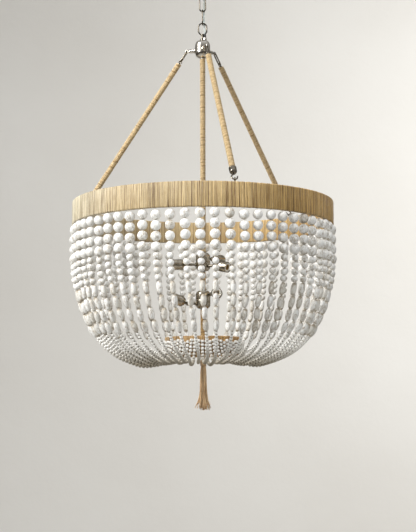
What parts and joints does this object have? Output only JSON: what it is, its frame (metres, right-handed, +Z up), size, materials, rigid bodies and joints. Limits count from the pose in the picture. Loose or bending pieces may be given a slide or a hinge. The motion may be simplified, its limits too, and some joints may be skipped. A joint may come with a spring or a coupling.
{
  "type": "beaded chandelier",
  "caption": "Bowl-shaped chandelier of wooden bead strings under a raffia-wound hoop, hung by wrapped rods, a hub and a chain from a ceiling canopy, with tilting lamp holders and a tassel.",
  "frame": {"origin": "middle of the ceiling plate's top face, on the ceiling", "axes": "+Z up towards the ceiling; -Y towards the viewer of the picture; +X to that viewer's right"},
  "size_m": [0.6196, 0.6196, 1.0558],
  "materials": {
    "nickel": "polished nickel plate",
    "steel": "plain satin",
    "raffia": "flat strips of raffia wound side by side, matt",
    "jute": "twisted jute twine, matt",
    "bead_wood": "whitewashed turned wood with a faint grain",
    "clear_cord": "clear sleeve over twisted wires",
    "black_rubber": "matt"
  },
  "bodies": {
    "ceiling": {"ceiling_plate": "steel", "ceiling_canopy": "nickel", "canopy_loop": "nickel", "power_cord_ceiling": "clear_cord"},
    "chain_upper": {"chain_link_upper": "nickel", "power_cord_upper": "clear_cord"},
    "chain_lower": {"chain_link_lower": "nickel", "power_cord_lower": "clear_cord"},
    "fixture": {"power_cord_fixture": "clear_cord", "cord_bushing": "black_rubber", "suspension_hub": "nickel", "top_loop": "nickel", "rod_link_1": "nickel", "rod_core_1": "steel", "rod_wrap_1": "jute", "rod_hook_1": "nickel", "hoop_eye_1": "nickel", "rod_link_2": "nickel", "rod_core_2": "steel", "rod_wrap_2": "jute", "rod_hook_2": "nickel", "hoop_eye_2": "nickel", "rod_link_3": "nickel", "rod_core_3": "steel", "rod_wrap_3": "jute", "rod_hook_3": "nickel", "hoop_eye_3": "nickel", "hoop_wrap": "raffia", "hoop_band": "steel", "bead_strands_1": "bead_wood", "bead_strands_2": "bead_wood", "bead_strands_3": "bead_wood", "bead_strands_4": "bead_wood", "bead_strands_5": "bead_wood", "bead_strands_6": "bead_wood", "ring_wrap": "raffia", "ring_spider": "steel", "stem_tube": "steel", "supply_lead": "black_rubber", "stem_wrap_upper": "jute", "stem_wrap_middle": "jute", "stem_wrap_lower": "jute", "cluster_body_upper": "nickel", "cluster_body_lower": "nickel", "socket_arm_1": "nickel", "socket_arm_2": "nickel", "socket_arm_3": "nickel", "socket_arm_4": "nickel", "socket_arm_5": "nickel", "socket_arm_6": "nickel", "stem_finial": "nickel"},
    "lamp_holder_1": {"lamp_socket_1": "nickel"},
    "lamp_holder_2": {"lamp_socket_2": "nickel"},
    "lamp_holder_3": {"lamp_socket_3": "nickel"},
    "lamp_holder_4": {"lamp_socket_4": "nickel"},
    "lamp_holder_5": {"lamp_socket_5": "nickel"},
    "lamp_holder_6": {"lamp_socket_6": "nickel"},
    "tassel": {"tassel_head": "jute", "tassel_skirt": "jute"}
  },
  "joints": [
    {"name": "upper_link_swing", "type": "hinge", "parent": "ceiling", "child": "chain_upper", "pos_m": [0, 0, -0.073], "axis": [0, 1, 0], "range_deg": [-25, 25]},
    {"name": "lower_link_swing", "type": "hinge", "parent": "chain_upper", "child": "chain_lower", "pos_m": [0, 0, -0.10555], "axis": [1, 0, 0], "range_deg": [-25, 25]},
    {"name": "fixture_swing", "type": "hinge", "parent": "chain_lower", "child": "fixture", "pos_m": [0, 0, -0.13825], "axis": [0, 1, 0], "range_deg": [-25, 25]},
    {"name": "lamp_holder_1_tilt", "type": "hinge", "parent": "fixture", "child": "lamp_holder_1", "pos_m": [-0.03598, 0.00126, -0.716], "axis": [-0.0349, -0.9994, 0], "range_deg": [-45, 45]},
    {"name": "lamp_holder_2_tilt", "type": "hinge", "parent": "fixture", "child": "lamp_holder_2", "pos_m": [0.02949, -0.02065, -0.72], "axis": [0.5736, 0.8192, 0], "range_deg": [-57, 33]},
    {"name": "lamp_holder_3_tilt", "type": "hinge", "parent": "fixture", "child": "lamp_holder_3", "pos_m": [0.02216, 0.02837, -0.7], "axis": [-0.788, 0.6157, 0], "range_deg": [-45, 45]},
    {"name": "lamp_holder_4_tilt", "type": "hinge", "parent": "fixture", "child": "lamp_holder_4", "pos_m": [-0.03598, -0.00126, -0.8075], "axis": [0.0349, -0.9994, 0], "range_deg": [-25, 65]},
    {"name": "lamp_holder_5_tilt", "type": "hinge", "parent": "fixture", "child": "lamp_holder_5", "pos_m": [0.03424, -0.01112, -0.7865], "axis": [0, 0, 1], "range_deg": [-20, 100]},
    {"name": "lamp_holder_6_tilt", "type": "hinge", "parent": "fixture", "child": "lamp_holder_6", "pos_m": [0.00126, 0.03598, -0.7985], "axis": [-0.9994, 0.0349, 0], "range_deg": [-33, 57]},
    {"name": "tassel_swing", "type": "hinge", "parent": "fixture", "child": "tassel", "pos_m": [0, 0, -0.93264], "axis": [0, 1, 0], "range_deg": [-40, 40]}
  ]
}
